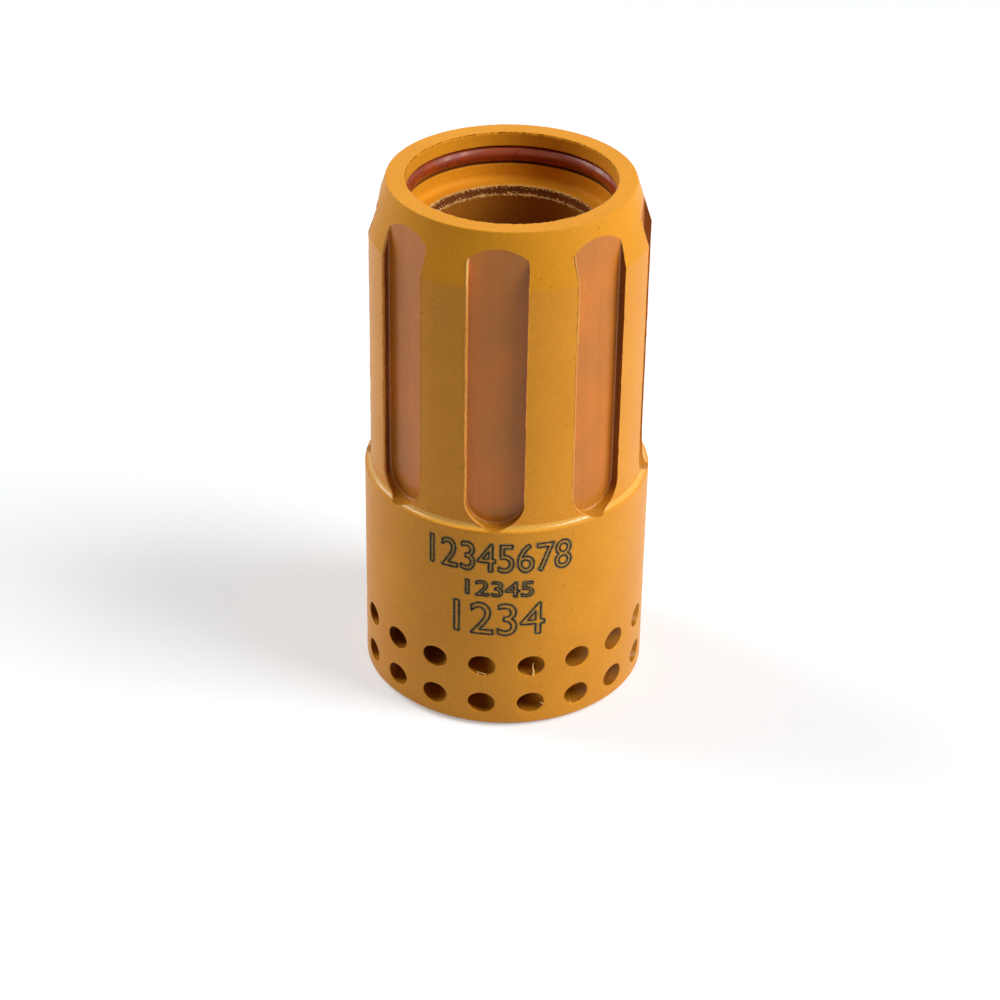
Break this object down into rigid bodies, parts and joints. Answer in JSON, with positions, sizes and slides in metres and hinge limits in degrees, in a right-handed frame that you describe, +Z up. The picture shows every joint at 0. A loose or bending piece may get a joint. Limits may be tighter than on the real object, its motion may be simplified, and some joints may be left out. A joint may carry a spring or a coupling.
{
  "type": "plasma torch swirl ring",
  "caption": "Stepped plastic sleeve, open at both ends, with milled flutes down its upper barrel, rows of slanted gas ports round its skirt and a seal ring in a groove in its mouth.",
  "frame": {"origin": "centre of the bore at the foot's flat face, the gas port end", "axes": "+Z up the bore towards the tapered nose, -Y through the middle of one cooling flute"},
  "size_m": [0.024, 0.024, 0.0455],
  "materials": {
    "ring_plastic": "ochre polyamide-imide, turned and milled, semi-matte with fine dark specks",
    "seal_rubber": "dark red-brown fluorocarbon rubber, moulded, glossy from its grease"
  },
  "bodies": {
    "root": {"swirl_ring_body": "ring_plastic", "seal_ring": "seal_rubber"}
  },
  "joints": []
}
